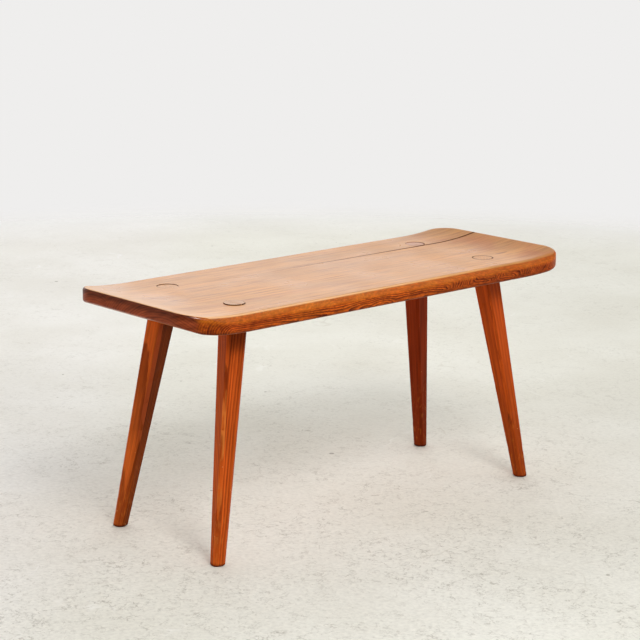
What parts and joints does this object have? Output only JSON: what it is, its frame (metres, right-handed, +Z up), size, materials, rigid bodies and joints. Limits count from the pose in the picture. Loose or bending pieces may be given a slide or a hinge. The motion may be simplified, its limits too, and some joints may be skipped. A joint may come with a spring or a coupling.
{
  "type": "wooden bench",
  "caption": "Low plank bench: a rounded seat with gently upturned ends on splayed, tapering legs whose round, wedged tenons come through the seat.",
  "frame": {"origin": "on the floor, under the middle of the seat", "axes": "+X along the seat, +Y from the front edge to the rear edge, +Z up"},
  "size_m": [0.906, 0.349, 0.439],
  "materials": {
    "seat": "amber varnish, semi-gloss, on pine",
    "legs": "amber varnish, semi-gloss, on pine",
    "wedges": "amber varnish on end grain",
    "dowels": "bare wood, hidden in the seam"
  },
  "bodies": {
    "root": {"seat_front_board": "seat", "seat_rear_board": "seat", "seam_dowels": "dowels", "leg_front_left": "legs", "leg_front_right": "legs", "leg_rear_left": "legs", "leg_rear_right": "legs", "wedge_front_left": "wedges", "wedge_front_right": "wedges", "wedge_rear_left": "wedges", "wedge_rear_right": "wedges"}
  },
  "joints": []
}
